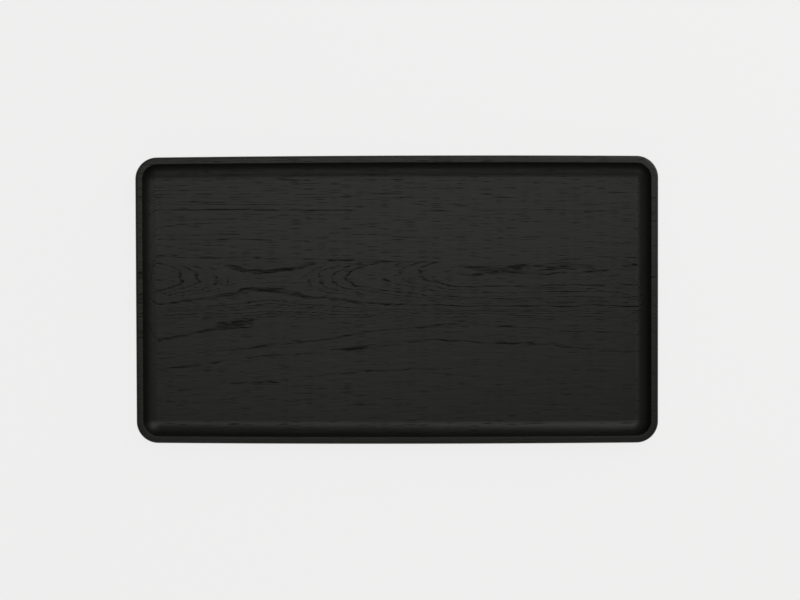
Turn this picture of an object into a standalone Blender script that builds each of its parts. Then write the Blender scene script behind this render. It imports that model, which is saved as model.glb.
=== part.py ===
"""Catchall tray in black-stained oak.

Three oak boards are glued edge to edge into a panel. One pocket is milled into the panel
with a round-nosed cutter, which leaves a cove all round the floor and a quarter sphere in
each corner. Four rubber feet sit in shallow recesses on the underside.

Metres, +Z up, +X along the grain, +Y to the rear. The origin is the middle of the
rectangle on which the feet stand.
"""

import math

import bmesh
import bpy

# Panel, seen from above
TRAY_LENGTH = 0.400
TRAY_WIDTH = 0.221  # across the middle, where the long sides bow out most
SIDE_BOW = 0.001  # how far the middle of a long side stands out past its ends
OUTER_CORNER_RADIUS = 0.0165
REAR_BOARD_WIDTH = 0.0817
MIDDLE_BOARD_WIDTH = 0.0435  # the front board takes the rest of the width
GLUE_LINE = 0.0003

# Section through the floor and the rim
FLOOR_THICKNESS = 0.006
COVE_RADIUS = 0.011
STRAIGHT_WALL = 0.0025  # height of the upright wall between the cove and the eased edge
RIM_WIDTH = 0.0055
RIM_OUTER_EASING = 0.002
RIM_INNER_EASING = 0.0005
BASE_EASING = 0.002
FLOOR_CORNER_RADIUS = 0.0005  # what the cutter leaves at the corners of the flat floor

# Feet
FOOT_DIAMETER = 0.012
FOOT_STANDOFF = 0.0015  # how far a foot holds the wood off the table
FOOT_SEATED_DEPTH = 0.0015  # how far a foot reaches into its recess
FOOT_EDGE_RADIUS = 0.0006
FOOT_END_INSET = 0.030  # from the short side of the tray to the foot's centre
FOOT_SIDE_INSET = 0.028  # from the long side of the tray to the foot's centre
SEAT_GAP = 0.0003

# Facets
CORNER_STEPS = 12
LONG_SIDE_STEPS = 16
SHORT_SIDE_STEPS = 2
COVE_STEPS = 10
EASING_STEPS = 4
FOOT_STEPS = 36
CUTTER_MARGIN = 0.010  # how far a cutter reaches past what it cuts

# Heights and places that follow from the sizes above
UNDERSIDE_Z = FOOT_STANDOFF
FLOOR_Z = UNDERSIDE_Z + FLOOR_THICKNESS
WALL_Z = FLOOR_Z + COVE_RADIUS
RIM_Z = WALL_Z + STRAIGHT_WALL + RIM_INNER_EASING
HALF_LENGTH = TRAY_LENGTH / 2
HALF_WIDTH = TRAY_WIDTH / 2
HALF_END_WIDTH = HALF_WIDTH - SIDE_BOW
REAR_SEAM_Y = HALF_WIDTH - REAR_BOARD_WIDTH
FRONT_SEAM_Y = REAR_SEAM_Y - MIDDLE_BOARD_WIDTH

BLACK_OAK = (0.021, 0.022, 0.019, 1.0)
BLACK_RUBBER = (0.012, 0.012, 0.012, 1.0)


def clear_scene():
    for obj in list(bpy.data.objects):
        bpy.data.objects.remove(obj, do_unlink=True)


def make_material(name, colour, roughness):
    material = bpy.data.materials.new(name)
    material.use_nodes = True
    shader = material.node_tree.nodes["Principled BSDF"]
    shader.inputs["Base Color"].default_value = colour
    shader.inputs["Roughness"].default_value = roughness
    shader.inputs["Metallic"].default_value = 0.0
    return material


def arc(start_deg, end_deg, steps):
    """Angles in radians from start to end, both included."""
    return [math.radians(start_deg + (end_deg - start_deg) * i / steps) for i in range(steps + 1)]


def between(start, end, steps):
    """The points that part the straight run from start to end into this many steps."""
    (x, y), (end_x, end_y) = start, end
    shares = [step / steps for step in range(1, steps)]
    return [(x + (end_x - x) * share, y + (end_y - y) * share) for share in shares]


def bowed(x, y):
    """Moves a point of a straight-sided outline out to the bowed long sides."""
    return x, y + SIDE_BOW * (1 - (x / HALF_LENGTH) ** 2) * y / HALF_END_WIDTH


def outline(inset, corner_radius):
    """A rounded rectangle this far inside the tray's edge, anticlockwise, with bowed long sides."""
    reach_x = HALF_LENGTH - inset - corner_radius
    reach_y = HALF_END_WIDTH - inset - corner_radius
    corners = []
    for quarter, (side_x, side_y) in enumerate([(1, 1), (-1, 1), (-1, -1), (1, -1)]):
        corners.append([
            (
                side_x * reach_x + corner_radius * math.cos(angle),
                side_y * reach_y + corner_radius * math.sin(angle),
            )
            for angle in arc(90 * quarter, 90 * quarter + 90, CORNER_STEPS)
        ])
    next_corners = corners[1:] + corners[:1]
    side_steps = [LONG_SIDE_STEPS, SHORT_SIDE_STEPS] * 2
    points = []
    for corner, next_corner, steps in zip(corners, next_corners, side_steps):
        points += corner + between(corner[-1], next_corner[0], steps)
    return [bowed(x, y) for x, y in points]


def outside_section():
    """(inset from the tray's edge, height), up the outer wall from the underside to the rim."""
    section = []
    for angle in arc(-90, 0, EASING_STEPS):
        section.append((
            BASE_EASING * (1 - math.cos(angle)),
            UNDERSIDE_Z + BASE_EASING * (1 + math.sin(angle)),
        ))
    for angle in arc(0, 90, EASING_STEPS):
        section.append((
            RIM_OUTER_EASING * (1 - math.cos(angle)),
            RIM_Z - RIM_OUTER_EASING * (1 - math.sin(angle)),
        ))
    return section


def pocket_section():
    """(inset from the pocket's edge, height), from the rim down the inner wall to the floor."""
    section = []
    for angle in arc(90, 0, EASING_STEPS):
        section.append((
            -RIM_INNER_EASING * (1 - math.cos(angle)),
            RIM_Z - RIM_INNER_EASING * (1 - math.sin(angle)),
        ))
    for angle in arc(0, 90, COVE_STEPS):
        section.append((
            COVE_RADIUS * (1 - math.cos(angle)),
            WALL_Z - COVE_RADIUS * math.sin(angle),
        ))
    return section


def panel_rings():
    """The closed loops of points that the panel's surface is lofted through."""
    rings = []
    for inset, height in outside_section():
        ring = outline(inset, OUTER_CORNER_RADIUS - inset)
        rings.append([(x, y, height) for x, y in ring])
    pocket_corner_radius = FLOOR_CORNER_RADIUS + COVE_RADIUS
    for inset, height in pocket_section():
        ring = outline(RIM_WIDTH + inset, pocket_corner_radius - inset)
        rings.append([(x, y, height) for x, y in ring])
    return rings


def panel_mesh():
    """The whole tray as one lofted skin, before it is parted into its boards."""
    form = bmesh.new()
    loops = [[form.verts.new(point) for point in ring] for ring in panel_rings()]
    count = len(loops[0])
    for lower, upper in zip(loops, loops[1:]):
        for i in range(count):
            after = (i + 1) % count
            form.faces.new((lower[i], lower[after], upper[after], upper[i]))
    form.faces.new(reversed(loops[0]))
    form.faces.new(loops[-1])
    return mesh_from(form, "milled_panel")


def mesh_from(form, name):
    bmesh.ops.recalc_face_normals(form, faces=form.faces)
    mesh = bpy.data.meshes.new(name)
    form.to_mesh(mesh)
    form.free()
    mesh.shade_smooth()
    mesh.set_sharp_from_angle(angle=math.radians(30))
    return mesh


def add_object(name, mesh, parent, material=None):
    obj = bpy.data.objects.new(name, mesh)
    bpy.context.scene.collection.objects.link(obj)
    obj.parent = parent
    if material:
        # The slot belongs to the object, because boards share the panel's mesh.
        if not mesh.materials:
            mesh.materials.append(None)
        obj.material_slots[0].link = "OBJECT"
        obj.material_slots[0].material = material
    return obj


def hide_cutter(obj):
    obj.hide_render = True
    obj.display_type = "WIRE"


def slab_cutter(name, low_y, high_y, parent):
    """A block as long and as high as the panel and more, between two seams."""
    low = (-HALF_LENGTH - CUTTER_MARGIN, low_y, UNDERSIDE_Z - CUTTER_MARGIN)
    high = (HALF_LENGTH + CUTTER_MARGIN, high_y, RIM_Z + CUTTER_MARGIN)
    form = bmesh.new()
    bmesh.ops.create_cube(form, size=1.0)
    for vertex in form.verts:
        vertex.co = [high[k] if vertex.co[k] > 0 else low[k] for k in range(3)]
    cutter = add_object(name, mesh_from(form, name), parent)
    hide_cutter(cutter)
    return cutter


def recess_cutter(name, place, parent):
    """A round cutter for the flat-bottomed recess that a foot sits in."""
    top = UNDERSIDE_Z + FOOT_SEATED_DEPTH + SEAT_GAP
    bottom = UNDERSIDE_Z - CUTTER_MARGIN
    form = bmesh.new()
    bmesh.ops.create_cone(
        form,
        cap_ends=True,
        segments=FOOT_STEPS,
        radius1=FOOT_DIAMETER / 2 + SEAT_GAP,
        radius2=FOOT_DIAMETER / 2 + SEAT_GAP,
        depth=top - bottom,
    )
    cutter = add_object(name, mesh_from(form, name), parent)
    cutter.location = (place[0], place[1], (top + bottom) / 2)
    hide_cutter(cutter)
    return cutter


def cut(obj, cutter, operation):
    boolean = obj.modifiers.new(f"{operation.lower()}_{cutter.name}", "BOOLEAN")
    boolean.object = cutter
    boolean.operation = operation
    boolean.solver = "EXACT"


def board(name, panel, low_y, high_y, foot_places, oak, parent):
    """One board: the panel between two seams, with a recess for each foot under it."""
    obj = add_object(name, panel, parent, oak)
    cut(obj, slab_cutter(f"{name}_seams", low_y, high_y, parent), "INTERSECT")
    for index, place in enumerate(foot_places):
        cut(obj, recess_cutter(f"{name}_recess_{index}", place, parent), "DIFFERENCE")
    return obj


def foot_mesh():
    """A moulded pad turned about its own axis, with a rounded lower edge."""
    radius = FOOT_DIAMETER / 2
    height = FOOT_STANDOFF + FOOT_SEATED_DEPTH
    profile = [(0.0, 0.0)]
    for angle in arc(-90, 0, EASING_STEPS):
        profile.append((
            radius - FOOT_EDGE_RADIUS * (1 - math.cos(angle)),
            FOOT_EDGE_RADIUS * (1 + math.sin(angle)),
        ))
    profile += [(radius, height), (0.0, height)]
    form = bmesh.new()
    points = [form.verts.new((r, 0.0, z)) for r, z in profile]
    edges = [form.edges.new(pair) for pair in zip(points, points[1:])]
    bmesh.ops.spin(
        form,
        geom=points + edges,
        cent=(0, 0, 0),
        axis=(0, 0, 1),
        angle=math.tau,
        steps=FOOT_STEPS,
        use_merge=True,
    )
    bmesh.ops.remove_doubles(form, verts=form.verts, dist=1e-6)
    return mesh_from(form, "moulded_foot")


def foot_place(side_x, side_y):
    return side_x * (HALF_LENGTH - FOOT_END_INSET), side_y * (HALF_WIDTH - FOOT_SIDE_INSET)


def main():
    clear_scene()
    oak = make_material("black_stained_oak", BLACK_OAK, 0.5)
    rubber = make_material("black_rubber", BLACK_RUBBER, 0.75)
    tray = bpy.data.objects.new("tray", None)
    bpy.context.scene.collection.objects.link(tray)

    panel = panel_mesh()
    half_line = GLUE_LINE / 2
    past_edge = HALF_WIDTH + CUTTER_MARGIN
    rear_places = [foot_place(-1, 1), foot_place(1, 1)]
    front_places = [foot_place(-1, -1), foot_place(1, -1)]
    board("rear_board", panel, REAR_SEAM_Y + half_line, past_edge, rear_places, oak, tray)
    board("middle_board", panel, FRONT_SEAM_Y + half_line, REAR_SEAM_Y - half_line, [], oak, tray)
    board("front_board", panel, -past_edge, FRONT_SEAM_Y - half_line, front_places, oak, tray)

    pad = foot_mesh()
    for row, places in (("rear", rear_places), ("front", front_places)):
        for hand, (x, y) in zip(("left", "right"), places):
            foot = add_object(f"{row}_{hand}_foot", pad, tray, rubber)
            foot.location = (x, y, 0.0)


main()
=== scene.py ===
"""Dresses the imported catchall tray: oak boards milled and stained black, rubber feet, and the studio.

It is laid out as a Blender add-on and run as a script. Metres, +Z up, +X along the grain and
+Y to the rear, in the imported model's own frame.
"""

import math
from typing import NamedTuple

import bmesh
import bpy
from bpy.props import FloatProperty, FloatVectorProperty, PointerProperty
from mathutils import Matrix, Quaternion, Vector


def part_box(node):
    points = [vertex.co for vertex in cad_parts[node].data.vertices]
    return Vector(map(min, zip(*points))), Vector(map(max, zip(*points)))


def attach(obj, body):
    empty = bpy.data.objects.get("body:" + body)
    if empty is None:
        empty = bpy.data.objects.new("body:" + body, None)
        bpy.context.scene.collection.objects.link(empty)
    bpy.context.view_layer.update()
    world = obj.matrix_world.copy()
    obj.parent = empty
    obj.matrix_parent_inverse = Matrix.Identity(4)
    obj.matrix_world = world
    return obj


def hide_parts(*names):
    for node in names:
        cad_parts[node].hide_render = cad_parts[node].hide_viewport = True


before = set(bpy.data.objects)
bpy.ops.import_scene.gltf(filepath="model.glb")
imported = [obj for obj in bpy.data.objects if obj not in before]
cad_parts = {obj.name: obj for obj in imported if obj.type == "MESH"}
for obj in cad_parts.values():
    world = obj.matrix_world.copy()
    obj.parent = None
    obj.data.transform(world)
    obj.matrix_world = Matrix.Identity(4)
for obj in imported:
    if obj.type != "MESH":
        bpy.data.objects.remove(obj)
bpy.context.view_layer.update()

bl_info = {
    "name": "Stained oak tray",
    "version": (1, 0, 0),
    "blender": (4, 5, 0),
    "location": "3D View > Sidebar > Tray",
    "description": "Boards milled from black-stained oak, rubber feet, and a plain studio",
    "category": "Object",
}

MM = 0.001
BOARDS = ("rear_board", "middle_board", "front_board")
FEET = ("rear_left_foot", "rear_right_foot", "front_left_foot", "front_right_foot")

# Facets of the milled surface
CORNER_STEPS = 24
LONG_SIDE_STEPS = 40
SHORT_SIDE_STEPS = 8
COVE_STEPS = 20
EASING_STEPS = 6
FOOT_STEPS = 96
CREASE = math.radians(35)
BY_AREA = 100  # makes a flat's normal win over the narrow facets beside it
SAW_TOLERANCE = 1e-7
WELD_DISTANCE = 1e-6

# Growth rings and the straying of the fibres
GOOD_YEARS = 2.5  # rings, about how long wide or narrow rings follow each other
GOOD_YEARS_SHIFT = 1.5  # rings, how far these runs shift the count
NOISE_TO_WAVE = 4  # slow noise seldom strays more than a quarter from its middle
SIDEWAYS = 3  # how much further the fibres stray sideways than upwards

# Pores. Oak's wide ones are 0.2 to 0.3 mm across, which is too fine to show in the render, so they
# are drawn about twice as wide. Each lies in a cell as wide as the pores' pitch.
PATCHINESS = 0.6  # how far the crowding of the pores drifts
PATCH_CELLS = (2, 6, 6)  # cells in a crowded patch along the fibres, across and up
SLOW_NOISE = (0.35, 0.65)  # what slow noise mostly lies between
YEARLY = 0.8  # how far the crowding differs from one growth ring to the next
FINE_PORE_CHANCE = 0.3  # share of the places between the lines that hold a fine pore
FINE_PITCH = (0.7, 0.8, 1.0)  # share of the wide pores' pitch
SHALLOW_MARGIN = 0.25  # a cell whose chance beats its dice by less holds a shallower pore
PORE_REACH = (0.45, 0.8)  # cells from the middle to the edge, in the smallest pore and the largest
PORE_WALL = 0.4  # cells from a pore's edge to where it has its full depth
STREAK_CORE = 0.5  # share of a streak's reach that is full of pores

# Stain and lacquer. The fibres are far too fine to show, so they are drawn as strands.
STRAND_LENGTH = 60  # in widths
EARLY_SOAK = 0.35  # how much less dry the early wood stays
DRYNESS_STOPS = (0.0, 0.4, 0.7)  # of the stained early wood, wood and late wood
BARE_DEPTH = 0.4  # share of a pore's depth from which it has no lacquer
THIN_FILM = 0.3  # how much of a bare pore's dullness the early wood has
BARE_ROUGHNESS = 0.9
LACQUER_IOR = 1.5

# Rubber. The grain of a real mould is under 0.1 mm and is drawn coarser, so that it shows.
MOULD_GRAIN = 0.25 * MM
MOULD_GRAIN_DEPTH = 0.02 * MM
RUBBER_ROUGHNESS = (0.62, 0.8)
RUBBER_IOR = 1.52

MATH = "ShaderNodeMath"
VECTOR = "ShaderNodeVectorMath"


class Streak(NamedTuple):
    """A place where pores crowd across the rings and the stain comes out darkest. Metres."""

    x: float
    y: float
    half_length: float
    half_width: float


class Figure(NamedTuple):
    """How one board was cut from its log, which settles the figure on its faces. Metres.

    The pith, the log's middle, runs along the board under the table. It lies deepest at a
    saddle, comes up on both sides of it, and may run level again further on.
    """

    pith_y: float  # where the pith lies at the saddle, seen from above
    pith_depth: float  # how far it lies under the table there
    saddle_x: float
    saddle_length: float  # how long the saddle's round bottom is
    level_past: float  # how far from the saddle the pith runs level again
    dip: float  # how far the pith comes up for each metre along the board
    lean: float  # how far it moves to the rear for each metre along the board
    ring_width: float
    first_year: float  # where the count of rings starts, which settles the good years and poor
    early_wood: float  # share of a ring that is early wood
    crowding: float  # average chance of a pore in the early wood, before it is kept to 0 to 1
    crowding_slope: tuple  # how much it grows for each metre along, to the rear and upwards
    paleness: float  # how little stain the board took, from 0 to 1
    wave: float  # how far the fibres stray from straight, upwards
    wave_length: float  # along the board
    wave_width: float  # across it
    streaks: tuple


FIGURES = {
    "rear_board": Figure(
        pith_y=0.009, pith_depth=0.093, saddle_x=0.04, saddle_length=0.08, level_past=0.3,
        dip=0.009, lean=-0.004, ring_width=0.00133, first_year=114.3, early_wood=0.15,
        crowding=-0.17, crowding_slope=(-1.5, 2.6, 0.0), paleness=0.1,
        wave=0.0003, wave_length=0.06, wave_width=0.01,
        streaks=(),
    ),
    "middle_board": Figure(
        pith_y=0.014, pith_depth=0.035, saddle_x=-0.101, saddle_length=0.023, level_past=0.15,
        dip=0.078, lean=0.07, ring_width=0.00125, first_year=147.7, early_wood=0.24,
        crowding=1.1, crowding_slope=(-0.3, -18.0, 0.0), paleness=0.05,
        wave=0.0004, wave_length=0.03, wave_width=0.01,
        streaks=(Streak(0.106, 0.024, 0.048, 0.0025),),
    ),
    "front_board": Figure(
        pith_y=0.028, pith_depth=0.225, saddle_x=0.064, saddle_length=0.12, level_past=1.0,
        dip=0.033, lean=-0.04, ring_width=0.0038, first_year=55.9, early_wood=0.155,
        crowding=1.0, crowding_slope=(0.0, 11.0, 0.0), paleness=0.0,
        wave=0.0008, wave_length=0.07, wave_width=0.014,
        streaks=(Streak(-0.126, -0.0195, 0.018, 0.004),),
    ),
}


class SoftBox(NamedTuple):
    """A flat diffuser that faces the tray."""

    name: str
    from_overhead: float  # degrees between it and straight up
    bearing: float  # degrees, 0 to the tray's right and 90 behind it
    distance: float  # metres
    width: float
    height: float
    turn: float  # degrees about its own axis
    watts: float


SOFT_BOXES = (
    SoftBox("overhead_panel", 18, 80, 2.0, 2.0, 1.3, 40, 6.6),
    SoftBox("window_screen", 62, 41, 1.2, 1.2, 1.4, 0, 4.2),
    SoftBox("front_reflector", 52, 255, 2.0, 2.4, 1.4, 0, 3.1),
)
FLOOR_DROP = 0.02 * MM  # keeps the floor clear of the faces that the feet stand on
FLOOR_SIZE = 30.0  # metres
FLOOR_REFLECTS = 0.12  # share of the light from above that it sends back
FLOOR_ROUGHNESS = 0.9
FLOOR_GLOW = 0.947  # leaves room for what it reflects
LIGHT_COLOUR = "#fefff4"  # near white, a little short of blue
ROOM_GREY = 0.12


def linear(hex_colour):
    """An sRGB hex colour as linear red, green and blue."""
    channels = [int(hex_colour[i : i + 2], 16) / 255 for i in (1, 3, 5)]
    return [c / 12.92 if c <= 0.04045 else ((c + 0.055) / 1.055) ** 2.4 for c in channels]


def size_property(name, description, millimetres):
    return FloatProperty(name=name, description=description, default=millimetres * MM, unit="LENGTH")


def colour_property(name, description, hex_colour):
    return FloatVectorProperty(
        name=name,
        description=description,
        default=linear(hex_colour),
        subtype="COLOR",
        min=0,
        max=1,
    )


class TraySizes(bpy.types.PropertyGroup):
    """Sizes of the milled panel and of the feet's recesses, as the solids have them."""

    side_bow: size_property("Side bow", "How far the middle of a long side stands out", 1.0)
    outer_corner: size_property("Outer corner", "Radius of the tray's corners", 16.5)
    rim_width: size_property("Rim width", "Width of the rim between its two walls", 5.5)
    rim_outer_easing: size_property("Outer easing", "Radius on the rim's outer edge", 2.0)
    rim_inner_easing: size_property("Inner easing", "Radius on the rim's inner edge", 0.5)
    base_easing: size_property("Base easing", "Radius on the lower edge", 2.0)
    floor_thickness: size_property("Floor", "Wood left under the pocket", 6.0)
    cove_radius: size_property("Cove", "Radius of the cutter's nose", 11.0)
    floor_corner: size_property("Floor corner", "Radius at the corners of the flat floor", 0.5)
    seat_gap: size_property("Seat gap", "Clearance between a foot and its recess", 0.3)
    foot_edge: size_property("Foot edge", "Radius on a foot's lower edge", 0.6)


class OakFinish(bpy.types.PropertyGroup):
    """Black-stained oak with open pores, and the rubber of the feet."""

    stain_early: colour_property("Early wood", "Stained early wood, which soaks up most", "#0b0b0b")
    stain: colour_property("Stain", "Stained wood between the pores", "#131312")
    stain_late: colour_property("Late wood", "Stained late wood, which takes less stain", "#242422")
    pore: colour_property("Pore", "The bottom of an open pore", "#050505")
    roughness: FloatProperty(name="Roughness", description="Of the lacquer film", default=0.38)
    pore_length: size_property("Pore pitch along", "From one pore to the next along the grain", 14.0)
    pore_width: size_property("Pore pitch across", "From one pore to the next across the grain", 0.6)
    pore_height: size_property("Pore pitch up", "From one pore to the next through the board", 0.6)
    pore_depth: size_property("Pore depth", "How deep an open pore is", 0.18)
    early_sink: size_property("Early sink", "How far the early wood lies below the late wood", 0.045)
    fine_pores: FloatProperty(name="Fine pores", description="Depth next to the wide ones", default=0.3)
    fibre_width: size_property("Fibre width", "Width of a strand of fibres", 0.5)
    fibre_relief: size_property("Fibre relief", "How far a strand stands proud", 0.012)
    rubber: colour_property("Rubber", "Moulded rubber of the feet", "#151515")


class StudioSetup(bpy.types.PropertyGroup):
    """The camera above the tray and the pale floor."""

    floor_colour: colour_property("Floor", "Pale matte floor", "#efefef")
    camera_distance: size_property("Distance", "From the rim to the camera", 1500.0)
    photo_width: size_property("Photo width", "What the photo's width spans at the rim", 612.0)
    aim_x: size_property("Aim across", "How far right of the tray's middle the camera aims", 2.8)
    aim_y: size_property("Aim along", "How far behind the tray's middle the camera aims", 0.0)
    tilt_back: FloatProperty(
        name="Tilt back",
        description="How far behind the vertical the camera stands",
        default=math.radians(1.4),
        subtype="ANGLE",
    )
    tilt_right: FloatProperty(
        name="Tilt right",
        description="How far right of the vertical the camera stands",
        default=math.radians(1.1),
        subtype="ANGLE",
    )
    roll: FloatProperty(
        name="Roll",
        description="How far the camera is turned about its own axis",
        default=math.radians(-0.15),
        subtype="ANGLE",
    )


# Milled shape


def arc(start_deg, end_deg, steps):
    """Angles in radians from start to end, both included."""
    return [math.radians(start_deg + (end_deg - start_deg) * i / steps) for i in range(steps + 1)]


def between(start, end, steps):
    """The points that part the straight run from start to end into this many steps."""
    shares = [step / steps for step in range(1, steps)]
    return [start.lerp(end, share) for share in shares]


class Panel(NamedTuple):
    """The outside of the glued panel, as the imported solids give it. Metres."""

    half_length: float
    half_width: float
    underside: float
    rim: float


def packed_panel():
    low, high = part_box("front_board")
    return Panel(high.x, -low.y, low.z, high.z)


def outline(panel, sizes, inset, radius):
    """A rounded rectangle this far inside the tray's edge, anticlockwise, with bowed long sides."""
    half_end_width = panel.half_width - sizes.side_bow
    reach = Vector((panel.half_length - inset - radius, half_end_width - inset - radius))
    corners = []
    for quarter, side in enumerate([(1, 1), (-1, 1), (-1, -1), (1, -1)]):
        centre = reach * Vector(side)
        corners.append([
            centre + radius * Vector((math.cos(angle), math.sin(angle)))
            for angle in arc(90 * quarter, 90 * quarter + 90, CORNER_STEPS)
        ])
    points = []
    side_steps = [LONG_SIDE_STEPS, SHORT_SIDE_STEPS] * 2
    for corner, next_corner, steps in zip(corners, corners[1:] + corners[:1], side_steps):
        points += corner + between(corner[-1], next_corner[0], steps)
    for point in points:
        point.y += sizes.side_bow * (1 - (point.x / panel.half_length) ** 2) * point.y / half_end_width
    return points


def panel_rings(panel, sizes):
    """The loops that the panel's skin is lofted through: up the outer wall and down the pocket."""
    rings = []

    def add_ring(inset, radius, height):
        rings.append([(p.x, p.y, height) for p in outline(panel, sizes, inset, radius)])

    for angle in arc(-90, 0, EASING_STEPS):
        inset = sizes.base_easing * (1 - math.cos(angle))
        height = panel.underside + sizes.base_easing * (1 + math.sin(angle))
        add_ring(inset, sizes.outer_corner - inset, height)
    for angle in arc(0, 90, EASING_STEPS):
        inset = sizes.rim_outer_easing * (1 - math.cos(angle))
        height = panel.rim - sizes.rim_outer_easing * (1 - math.sin(angle))
        add_ring(inset, sizes.outer_corner - inset, height)
    pocket_corner = sizes.floor_corner + sizes.cove_radius
    for angle in arc(90, 0, EASING_STEPS):
        inset = -sizes.rim_inner_easing * (1 - math.cos(angle))
        height = panel.rim - sizes.rim_inner_easing * (1 - math.sin(angle))
        add_ring(sizes.rim_width + inset, pocket_corner - inset, height)
    cove_top = panel.underside + sizes.floor_thickness + sizes.cove_radius
    for angle in arc(0, 90, COVE_STEPS):
        inset = sizes.cove_radius * (1 - math.cos(angle))
        height = cove_top - sizes.cove_radius * math.sin(angle)
        add_ring(sizes.rim_width + inset, pocket_corner - inset, height)
    return rings


def loft(rings):
    """A closed skin through the rings, capped at both ends."""
    skin = bmesh.new()
    loops = [[skin.verts.new(point) for point in ring] for ring in rings]
    count = len(loops[0])
    for lower, upper in zip(loops, loops[1:]):
        for i in range(count):
            after = (i + 1) % count
            skin.faces.new((lower[i], lower[after], upper[after], upper[i]))
    skin.faces.new(reversed(loops[0]))
    skin.faces.new(loops[-1])
    return skin


def saw(skin, seam_y, keep):
    """Cuts the skin along a glue line and keeps the side that keep points to, closed again."""
    cut = bmesh.ops.bisect_plane(
        skin,
        geom=skin.verts[:] + skin.edges[:] + skin.faces[:],
        dist=SAW_TOLERANCE,
        plane_co=(0, seam_y, 0),
        plane_no=(0, -keep, 0),
        clear_outer=True,
    )
    edges = [item for item in cut["geom_cut"] if isinstance(item, bmesh.types.BMEdge)]
    bmesh.ops.holes_fill(skin, edges=edges)


def object_from(skin, name):
    bmesh.ops.recalc_face_normals(skin, faces=skin.faces)
    mesh = bpy.data.meshes.new(name)
    skin.to_mesh(mesh)
    skin.free()
    obj = bpy.data.objects.new(name, mesh)
    bpy.context.scene.collection.objects.link(obj)
    return obj


def smooth(obj):
    """Rounds shade smooth, and each flat keeps its own normal right up to the round beside it."""
    obj.data.shade_smooth()
    obj.data.set_sharp_from_angle(angle=CREASE)
    weighted = obj.modifiers.new("flats_stay_flat", "WEIGHTED_NORMAL")
    weighted.keep_sharp = True
    weighted.weight = BY_AREA


def seat_on_frame(obj, material, node):
    """Puts the dressed piece in its solid's place, with its finish."""
    obj.data.materials.clear()
    obj.data.materials.append(material)
    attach(obj, "root")
    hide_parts(node)


def foot_place(foot):
    """(middle of the foot's underside, radius, height) from its solid."""
    low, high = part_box(foot)
    middle = (low + high) / 2
    return Vector((middle.x, middle.y, low.z)), (high.x - low.x) / 2, high.z - low.z


def drill_recess(board, foot, sizes):
    """Cuts the flat-bottomed recess for a foot into the underside of its board."""
    place, radius, height = foot_place(foot)
    depth = 2 * (height + sizes.seat_gap)
    drill = bmesh.new()
    bmesh.ops.create_cone(
        drill,
        cap_ends=True,
        segments=FOOT_STEPS,
        radius1=radius + sizes.seat_gap,
        radius2=radius + sizes.seat_gap,
        depth=depth,
        matrix=Matrix.Translation(place),
    )
    cutter = object_from(drill, f"{foot}_drill")
    boolean = board.modifiers.new("recess", "BOOLEAN")
    boolean.object = cutter
    boolean.solver = "EXACT"
    with bpy.context.temp_override(object=board, active_object=board):
        bpy.ops.object.modifier_apply(modifier=boolean.name)
    bpy.data.objects.remove(cutter)


def seams():
    """The y of each glue line, from the rear: halfway between the solids on its two sides."""
    boxes = [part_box(board) for board in BOARDS]
    return [(behind[0].y + before[1].y) / 2 for behind, before in zip(boxes, boxes[1:])]


# Materials


def add_node(tree, kind, inputs=None, **settings):
    """Adds a node, sets its properties, and gives its inputs values or links them to outputs."""
    node = tree.nodes.new(kind)
    for name, value in settings.items():
        setattr(node, name, value)
    for key, value in (inputs or {}).items():
        if isinstance(value, bpy.types.NodeSocket):
            tree.links.new(value, node.inputs[key])
        else:
            node.inputs[key].default_value = value
    return node


def new_material(name):
    """An empty material tree and its output node."""
    material = bpy.data.materials.new(name)
    material.use_nodes = True
    tree = material.node_tree
    tree.nodes.clear()
    return material, tree, add_node(tree, "ShaderNodeOutputMaterial")


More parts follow.
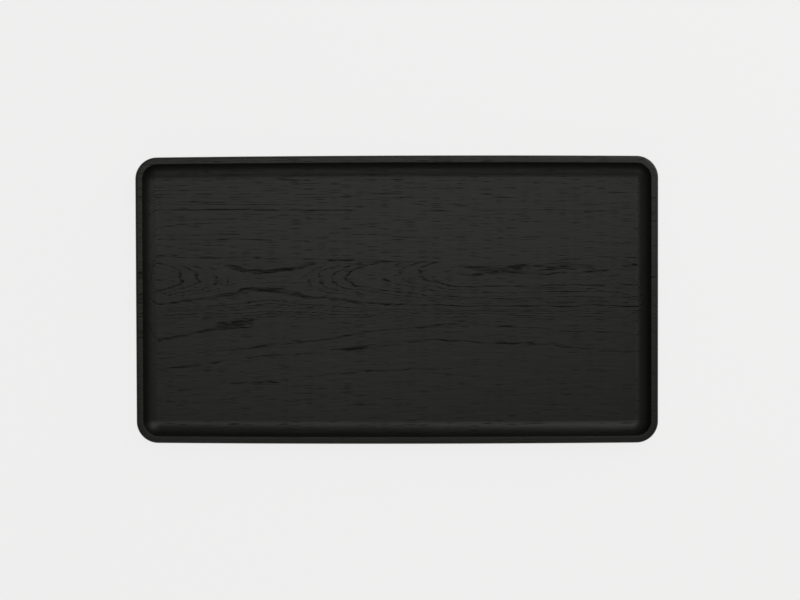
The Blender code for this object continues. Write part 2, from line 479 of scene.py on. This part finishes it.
def fibre_frame(figure, name):
    """A node group: a point of the board as its fibres count it.

    X runs along the fibres. Y and Z are how far to the rear of the pith and above it the point
    lies. Slow noise makes the fibres wander from straight.
    """
    group = bpy.data.node_groups.new(name, "ShaderNodeTree")
    group.interface.new_socket("Point", in_out="INPUT", socket_type="NodeSocketVector")
    group.interface.new_socket("Fibre", in_out="OUTPUT", socket_type="NodeSocketVector")
    point = add_node(group, "NodeGroupInput").outputs[0]
    x = add_node(group, "ShaderNodeSeparateXYZ", {0: point}).outputs["X"]
    along = add_node(group, MATH, {0: x, 1: figure.saddle_x}, operation="SUBTRACT").outputs[0]
    squared = add_node(
        group, MATH, {0: along, 1: along, 2: figure.saddle_length**2}, operation="MULTIPLY_ADD"
    ).outputs[0]
    swept = add_node(group, MATH, {0: squared}, operation="SQRT").outputs[0]
    sloping = add_node(
        group,
        MATH,
        {0: swept, 1: figure.level_past, 2: figure.saddle_length},
        operation="SMOOTH_MIN",
    ).outputs[0]
    past_saddle = add_node(
        group, MATH, {0: sloping, 1: figure.saddle_length}, operation="SUBTRACT"
    ).outputs[0]
    pith = add_node(
        group,
        VECTOR,
        {
            0: add_node(group, "ShaderNodeCombineXYZ", dict.fromkeys("XYZ", past_saddle)).outputs[0],
            1: (0.0, figure.lean, figure.dip),
            2: (0.0, figure.pith_y, -figure.pith_depth),
        },
        operation="MULTIPLY_ADD",
    ).outputs[0]
    straight = add_node(group, VECTOR, {0: point, 1: pith}, operation="SUBTRACT").outputs[0]

    stretch = [1 / figure.wave_length, 1 / figure.wave_width, 1 / figure.wave_width]
    place = add_node(group, VECTOR, {0: straight, 1: stretch}, operation="MULTIPLY").outputs[0]
    noise = add_node(
        group, "ShaderNodeTexNoise", {"Vector": place, "Scale": 1.0, "Detail": 3.0, "Roughness": 0.5}
    )
    centred = add_node(
        group, VECTOR, {0: noise.outputs["Color"], 1: (0.5, 0.5, 0.5)}, operation="SUBTRACT"
    ).outputs[0]
    sway = (0.0, SIDEWAYS * NOISE_TO_WAVE * figure.wave, NOISE_TO_WAVE * figure.wave)
    moved = add_node(group, VECTOR, {0: centred, 1: sway, 2: straight}, operation="MULTIPLY_ADD")
    add_node(group, "NodeGroupOutput", {0: moved.outputs[0]})
    return group


def growth_rings(tree, fibre, figure):
    """How many rings lie between a point and the pith. Good years make wide rings, poor ones thin."""
    spoke = add_node(tree, VECTOR, {0: fibre, 1: (0.0, 1.0, 1.0)}, operation="MULTIPLY").outputs[0]
    radius = add_node(tree, VECTOR, {0: spoke}, operation="LENGTH").outputs["Value"]
    even = add_node(
        tree,
        MATH,
        {0: radius, 1: 1 / figure.ring_width, 2: figure.first_year},
        operation="MULTIPLY_ADD",
    ).outputs[0]
    runs = add_node(tree, MATH, {0: even, 1: 1 / GOOD_YEARS}, operation="MULTIPLY").outputs[0]
    weather = add_node(
        tree,
        "ShaderNodeTexNoise",
        {"W": runs, "Scale": 1.0, "Detail": 0.0},
        noise_dimensions="1D",
    )
    return add_node(
        tree,
        MATH,
        {0: weather.outputs["Fac"], 1: GOOD_YEARS_SHIFT, 2: even},
        operation="MULTIPLY_ADD",
    ).outputs[0]


def early_wood(tree, rings, figure):
    """1 in the early wood that starts each growth ring, fading to 0 in the late wood past it."""
    share = add_node(tree, MATH, {0: rings}, operation="FRACT").outputs[0]
    return add_node(
        tree,
        "ShaderNodeMapRange",
        {
            "Value": share,
            "From Min": figure.early_wood / 2,
            "From Max": figure.early_wood,
            "To Min": 1.0,
            "To Max": 0.0,
        },
        interpolation_type="SMOOTHSTEP",
    ).outputs["Result"]


def crowding_patches(tree, point, fibre, rings, patch, figure):
    """The share of places that hold a pore.

    It falls off evenly over the board, drifts in patches of the given size, and differs from
    year to year.
    """
    trend = add_node(
        tree, VECTOR, {0: point, 1: figure.crowding_slope}, operation="DOT_PRODUCT"
    ).outputs["Value"]
    place = add_node(
        tree, VECTOR, {0: fibre, 1: [1 / p for p in patch]}, operation="MULTIPLY"
    ).outputs[0]
    drift = add_node(tree, "ShaderNodeTexNoise", {"Vector": place, "Scale": 1.0, "Detail": 2.0})
    patches = add_node(
        tree,
        "ShaderNodeMapRange",
        {
            "Value": drift.outputs["Fac"],
            "From Min": SLOW_NOISE[0],
            "From Max": SLOW_NOISE[1],
            "To Min": figure.crowding - PATCHINESS - YEARLY / 2,
            "To Max": figure.crowding + PATCHINESS - YEARLY / 2,
        },
    ).outputs["Result"]
    year = add_node(tree, MATH, {0: rings}, operation="FLOOR").outputs[0]
    luck = add_node(tree, "ShaderNodeTexWhiteNoise", {"W": year}, noise_dimensions="1D").outputs["Value"]
    yearly = add_node(tree, MATH, {0: luck, 1: YEARLY, 2: trend}, operation="MULTIPLY_ADD").outputs[0]
    return add_node(tree, MATH, {0: patches, 1: yearly}, operation="ADD").outputs[0]


def dark_streaks(tree, point, streaks):
    """1 in the middle of a streak and 0 outside them all."""
    inside = 0.0
    for streak in streaks:
        from_middle = add_node(
            tree, VECTOR, {0: point, 1: (streak.x, streak.y, 0.0)}, operation="SUBTRACT"
        ).outputs[0]
        shares = add_node(
            tree,
            VECTOR,
            {0: from_middle, 1: (1 / streak.half_length, 1 / streak.half_width, 0.0)},
            operation="MULTIPLY",
        ).outputs[0]
        far = add_node(tree, VECTOR, {0: shares}, operation="LENGTH").outputs["Value"]
        near = add_node(
            tree,
            "ShaderNodeMapRange",
            {"Value": far, "From Min": STREAK_CORE, "To Min": 1.0, "To Max": 0.0},
            interpolation_type="SMOOTHSTEP",
        ).outputs["Result"]
        inside = add_node(tree, MATH, {0: near, 1: inside}, operation="MAXIMUM").outputs[0]
    return inside


def open_pores(tree, fibre, pitch, chance):
    """How deep a point lies in an open pore, from 0 at its edge to 1 in its middle.

    A pore is a long thin hollow along the fibres, in a cell of its own. It shows as a dash where
    the fibres lie in the face, as a short mark where they dip into it, and as a dot on end grain.
    Chance is the share of the cells that hold one.
    """
    place = add_node(
        tree, VECTOR, {0: fibre, 1: [1 / p for p in pitch]}, operation="MULTIPLY"
    ).outputs[0]
    cell = add_node(tree, "ShaderNodeTexVoronoi", {"Vector": place, "Scale": 1.0})
    dice = add_node(tree, "ShaderNodeSeparateColor", {0: cell.outputs["Color"]})
    spare = add_node(tree, MATH, {0: chance, 1: dice.outputs[0]}, operation="SUBTRACT").outputs[0]
    opened = add_node(
        tree, "ShaderNodeMapRange", {"Value": spare, "From Max": SHALLOW_MARGIN}
    ).outputs["Result"]
    reach = add_node(
        tree,
        "ShaderNodeMapRange",
        {"Value": dice.outputs[1], "To Min": PORE_REACH[0], "To Max": PORE_REACH[1]},
    ).outputs["Result"]
    inside = add_node(
        tree, MATH, {0: reach, 1: cell.outputs["Distance"]}, operation="SUBTRACT"
    ).outputs[0]
    hollow = add_node(
        tree,
        "ShaderNodeMapRange",
        {"Value": inside, "From Max": PORE_WALL},
        interpolation_type="SMOOTHSTEP",
    ).outputs["Result"]
    return add_node(tree, MATH, {0: opened, 1: hollow}, operation="MULTIPLY").outputs[0]


def oak_pores(tree, point, fibre, figure, finish):
    """How deep a point lies in a pore, and how porous the early wood is there, from 0 to 1."""
    pitch = (finish.pore_length, finish.pore_width, finish.pore_height)
    patch = [cells * size for cells, size in zip(PATCH_CELLS, pitch)]
    fine_pitch = [share * size for share, size in zip(FINE_PITCH, pitch)]
    streak = dark_streaks(tree, point, figure.streaks)
    rings = growth_rings(tree, fibre, figure)
    early = early_wood(tree, rings, figure)
    patches = crowding_patches(tree, point, fibre, rings, patch, figure)
    porous = add_node(
        tree, MATH, {0: patches, 1: early}, operation="MULTIPLY", use_clamp=True
    ).outputs[0]

    marked = add_node(tree, MATH, {0: early, 1: streak}, operation="MAXIMUM").outputs[0]
    crowding = add_node(tree, MATH, {0: patches, 1: streak}, operation="MAXIMUM").outputs[0]
    all_wide = open_pores(tree, fibre, pitch, crowding)
    wide = add_node(tree, MATH, {0: all_wide, 1: marked}, operation="MULTIPLY").outputs[0]
    all_fine = open_pores(tree, fibre, fine_pitch, FINE_PORE_CHANCE)
    fine = add_node(
        tree, MATH, {0: all_fine, 1: finish.fine_pores}, operation="MULTIPLY"
    ).outputs[0]
    pores = add_node(tree, MATH, {0: wide, 1: fine}, operation="MAXIMUM").outputs[0]
    return pores, porous


def fibre_strands(tree, fibre, width):
    """Noise drawn out along the fibres, from 0 in a strand that soaks up stain to 1 in a dry one."""
    strand = (STRAND_LENGTH * width, width, width)
    place = add_node(
        tree, VECTOR, {0: fibre, 1: [1 / size for size in strand]}, operation="MULTIPLY"
    ).outputs[0]
    return add_node(
        tree,
        "ShaderNodeTexNoise",
        {"Vector": place, "Scale": 1.0, "Detail": 2.0, "Roughness": 0.6},
    ).outputs["Fac"]


def soaked_stain(tree, strands, porous, figure, finish):
    """The stained wood's colour: the early wood and the thirsty strands take the most stain."""
    board_tone = add_node(tree, MATH, {0: strands, 1: figure.paleness}, operation="ADD").outputs[0]
    dryness = add_node(
        tree, MATH, {0: porous, 1: -EARLY_SOAK, 2: board_tone}, operation="MULTIPLY_ADD"
    ).outputs[0]
    wood = add_node(tree, "ShaderNodeValToRGB", {0: dryness})
    ramp = wood.color_ramp
    ramp.elements.new(DRYNESS_STOPS[1])
    stains = (finish.stain_early, finish.stain, finish.stain_late)
    for stop, position, stain in zip(ramp.elements, DRYNESS_STOPS, stains):
        stop.position = position
        stop.color = [*stain, 1.0]
    return wood.outputs["Color"]


def wood_relief(tree, strands, porous, pores, finish):
    """Height of the surface: strands stand proud, the early wood sinks and the pores are open."""
    raised = add_node(
        tree, MATH, {0: strands, 1: finish.fibre_relief}, operation="MULTIPLY"
    ).outputs[0]
    between_pores = add_node(
        tree, MATH, {0: porous, 1: -finish.early_sink, 2: raised}, operation="MULTIPLY_ADD"
    ).outputs[0]
    return add_node(
        tree, MATH, {0: pores, 1: -finish.pore_depth, 2: between_pores}, operation="MULTIPLY_ADD"
    ).outputs[0]


def stained_oak(name, figure, finish):
    """Oak, planed and milled, stained black and lacquered thin.

    The stain hides all colour but not the open pores, which stay unfilled: short dark dashes,
    strung in broken lines along the growth rings, with a few fine ones between them. The
    lacquer gives the wood a satin sheen that the pores lack.
    """
    material, tree, output = new_material(name)
    point = add_node(tree, "ShaderNodeTexCoord").outputs["Object"]
    frame_of_fibres = add_node(
        tree, "ShaderNodeGroup", node_tree=fibre_frame(figure, f"{name}_fibres")
    )
    tree.links.new(point, frame_of_fibres.inputs["Point"])
    fibre = frame_of_fibres.outputs["Fibre"]

    pores, porous = oak_pores(tree, point, fibre, figure, finish)
    strands = fibre_strands(tree, fibre, finish.fibre_width)
    stained = soaked_stain(tree, strands, porous, figure, finish)
    bare = add_node(
        tree, "ShaderNodeMapRange", {"Value": pores, "From Max": BARE_DEPTH}
    ).outputs["Result"]
    colour = add_node(
        tree,
        "ShaderNodeMix",
        {"Factor": bare, "A": stained, "B": [*finish.pore, 1.0]},
        data_type="RGBA",
    )
    thin_film = add_node(tree, MATH, {0: porous, 1: THIN_FILM}, operation="MULTIPLY").outputs[0]
    dullness = add_node(tree, MATH, {0: thin_film, 1: bare}, operation="MAXIMUM").outputs[0]
    roughness = add_node(
        tree,
        "ShaderNodeMapRange",
        {"Value": dullness, "To Min": finish.roughness, "To Max": BARE_ROUGHNESS},
    ).outputs["Result"]
    relief = wood_relief(tree, strands, porous, pores, finish)
    bump = add_node(tree, "ShaderNodeBump", {"Height": relief, "Distance": 1.0})
    shader = add_node(
        tree,
        "ShaderNodeBsdfPrincipled",
        {
            "Base Color": colour.outputs[2],
            "Roughness": roughness,
            "Normal": bump.outputs["Normal"],
            "IOR": LACQUER_IOR,
        },
    )
    tree.links.new(shader.outputs[0], output.inputs["Surface"])
    return material


def moulded_rubber(finish):
    """Black rubber, compression moulded: matte, with a fine even grain from the mould."""
    material, tree, output = new_material("moulded_black_rubber")
    point = add_node(tree, "ShaderNodeTexCoord").outputs["Object"]
    grain = add_node(
        tree, "ShaderNodeTexNoise", {"Vector": point, "Scale": 1 / MOULD_GRAIN, "Detail": 2.0}
    ).outputs["Fac"]
    height = add_node(
        tree, MATH, {0: grain, 1: MOULD_GRAIN_DEPTH}, operation="MULTIPLY"
    ).outputs[0]
    bump = add_node(tree, "ShaderNodeBump", {"Height": height, "Distance": 1.0})
    roughness = add_node(
        tree,
        "ShaderNodeMapRange",
        {"Value": grain, "To Min": RUBBER_ROUGHNESS[0], "To Max": RUBBER_ROUGHNESS[1]},
    ).outputs["Result"]
    shader = add_node(
        tree,
        "ShaderNodeBsdfPrincipled",
        {
            "Base Color": [*finish.rubber, 1.0],
            "Roughness": roughness,
            "Normal": bump.outputs["Normal"],
            "IOR": RUBBER_IOR,
        },
    )
    tree.links.new(shader.outputs[0], output.inputs["Surface"])
    return material


def pale_floor(colour):
    """Matte white board, lit evenly from behind as on a light table, so no edge of it shows."""
    material, tree, output = new_material("pale_matte_board")
    shader = add_node(
        tree,
        "ShaderNodeBsdfPrincipled",
        {
            "Base Color": [FLOOR_REFLECTS] * 3 + [1.0],
            "Roughness": FLOOR_ROUGHNESS,
            "Specular IOR Level": 0.0,
            "Emission Color": [*colour, 1.0],
            "Emission Strength": FLOOR_GLOW,
        },
    )
    tree.links.new(shader.outputs[0], output.inputs["Surface"])
    return material


# Operators


class TRAY_OT_boards(bpy.types.Operator):
    """Mills the panel, parts it at the glue lines and stains each board"""

    bl_idname = "tray.boards"
    bl_label = "Mill the boards"

    def execute(self, context):
        sizes = context.scene.tray_sizes
        rings = panel_rings(packed_panel(), sizes)
        rear_seam, front_seam = seams()
        cuts = {
            "rear_board": [(rear_seam, 1)],
            "middle_board": [(rear_seam, -1), (front_seam, 1)],
            "front_board": [(front_seam, -1)],
        }
        for name in BOARDS:
            skin = loft(rings)
            for seam_y, keep in cuts[name]:
                saw(skin, seam_y, keep)
            board = object_from(skin, f"stained_{name}")
            for foot in FEET:
                if foot.split("_")[0] == name.split("_")[0]:
                    drill_recess(board, foot, sizes)
            smooth(board)
            oak = stained_oak(f"black_stained_oak_{name}", FIGURES[name], context.scene.oak_finish)
            seat_on_frame(board, oak, name)
        return {"FINISHED"}


class TRAY_OT_feet(bpy.types.Operator):
    """Moulds the four rubber feet and seats each in its recess"""

    bl_idname = "tray.feet"
    bl_label = "Mould the feet"

    def execute(self, context):
        sizes = context.scene.tray_sizes
        rubber = moulded_rubber(context.scene.oak_finish)
        for name in FEET:
            place, radius, height = foot_place(name)
            profile = [Vector((0, 0, 0))]
            for angle in arc(-90, 0, EASING_STEPS):
                profile.append(Vector((
                    radius - sizes.foot_edge * (1 - math.cos(angle)),
                    0,
                    sizes.foot_edge * (1 + math.sin(angle)),
                )))
            profile += [Vector((radius, 0, height)), Vector((0, 0, height))]
            turned = bmesh.new()
            points = [turned.verts.new(place + p) for p in profile]
            edges = [turned.edges.new(pair) for pair in zip(points, points[1:])]
            bmesh.ops.spin(
                turned,
                geom=points + edges,
                cent=place,
                axis=(0, 0, 1),
                angle=math.tau,
                steps=FOOT_STEPS,
                use_merge=True,
            )
            bmesh.ops.remove_doubles(turned, verts=turned.verts, dist=WELD_DISTANCE)
            foot = object_from(turned, f"rubber_{name}")
            smooth(foot)
            seat_on_frame(foot, rubber, name)
        return {"FINISHED"}


class TRAY_OT_studio(bpy.types.Operator):
    """Sets the pale floor, the soft light round the tray and the camera above it"""

    bl_idname = "tray.studio"
    bl_label = "Set the studio"

    def execute(self, context):
        setup = context.scene.studio_setup
        lay_floor(setup)
        hang_lights()
        place_camera(setup, packed_panel().rim)
        context.scene.view_settings.view_transform = "Standard"
        return {"FINISHED"}


def lay_floor(setup):
    sheet = bmesh.new()
    bmesh.ops.create_grid(sheet, x_segments=1, y_segments=1, size=FLOOR_SIZE / 2)
    floor = object_from(sheet, "studio_floor")
    floor.location.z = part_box(FEET[0])[0].z - FLOOR_DROP
    floor.data.materials.append(pale_floor(setup.floor_colour))


def hang_lights():
    """Flat diffusers that face the tray, and an even dim room."""
    for spec in SOFT_BOXES:
        light = bpy.data.lights.new(spec.name, "AREA")
        light.shape = "RECTANGLE"
        light.size = spec.width
        light.size_y = spec.height
        light.energy = spec.watts
        light.color = linear(LIGHT_COLOUR)
        box = bpy.data.objects.new(spec.name, light)
        tilt, bearing = math.radians(spec.from_overhead), math.radians(spec.bearing)
        level = Vector((math.cos(bearing), math.sin(bearing), 0.0))
        direction = math.sin(tilt) * level + math.cos(tilt) * Vector((0, 0, 1))
        box.location = direction * spec.distance
        box.rotation_mode = "QUATERNION"
        facing = direction.to_track_quat("Z", "Y")
        box.rotation_quaternion = facing @ Quaternion((0, 0, 1), math.radians(spec.turn))
        box.visible_camera = False
        bpy.context.scene.collection.objects.link(box)
    world = bpy.data.worlds.new("dim_room")
    world.use_nodes = True
    world.node_tree.nodes["Background"].inputs["Color"].default_value = [ROOM_GREY] * 3 + [1.0]
    bpy.context.scene.world = world


def place_camera(setup, rim):
    """A long lens nearly straight above the tray."""
    aim = Vector((setup.aim_x, setup.aim_y, rim))
    back = Vector((math.sin(setup.tilt_right), math.sin(setup.tilt_back), 1.0)).normalized()
    lens = bpy.data.cameras.new("camera")
    lens.lens = lens.sensor_width * setup.camera_distance / setup.photo_width
    camera = bpy.data.objects.new("camera", lens)
    camera.location = aim + back * setup.camera_distance
    right = back.cross(Vector((0, -1, 0))).normalized()
    level = Matrix((right, back.cross(right), back)).transposed()
    camera.rotation_mode = "QUATERNION"
    camera.rotation_quaternion = level.to_quaternion() @ Quaternion((0, 0, 1), setup.roll)
    bpy.context.scene.collection.objects.link(camera)
    bpy.context.scene.camera = camera


class TRAY_PT_panel(bpy.types.Panel):
    """Lists the steps and the sizes"""

    bl_idname = "TRAY_PT_panel"
    bl_label = "Stained oak tray"
    bl_space_type = "VIEW_3D"
    bl_region_type = "UI"
    bl_category = "Tray"

    def draw(self, context):
        for operator in OPERATORS:
            self.layout.operator(operator.bl_idname)
        for group in (context.scene.tray_sizes, context.scene.oak_finish, context.scene.studio_setup):
            for name in group.__annotations__:
                self.layout.prop(group, name)


OPERATORS = (TRAY_OT_boards, TRAY_OT_feet, TRAY_OT_studio)
PROPERTY_GROUPS = {
    "tray_sizes": TraySizes,
    "oak_finish": OakFinish,
    "studio_setup": StudioSetup,
}


def register():
    for cls in (*PROPERTY_GROUPS.values(), *OPERATORS, TRAY_PT_panel):
        bpy.utils.register_class(cls)
    for name, cls in PROPERTY_GROUPS.items():
        setattr(bpy.types.Scene, name, PointerProperty(type=cls))


def unregister():
    for name in PROPERTY_GROUPS:
        delattr(bpy.types.Scene, name)
    for cls in (TRAY_PT_panel, *OPERATORS, *PROPERTY_GROUPS.values()):
        bpy.utils.unregister_class(cls)


def main():
    register()
    bpy.ops.tray.boards()
    bpy.ops.tray.feet()
    bpy.ops.tray.studio()


if __name__ == "__main__":
    main()
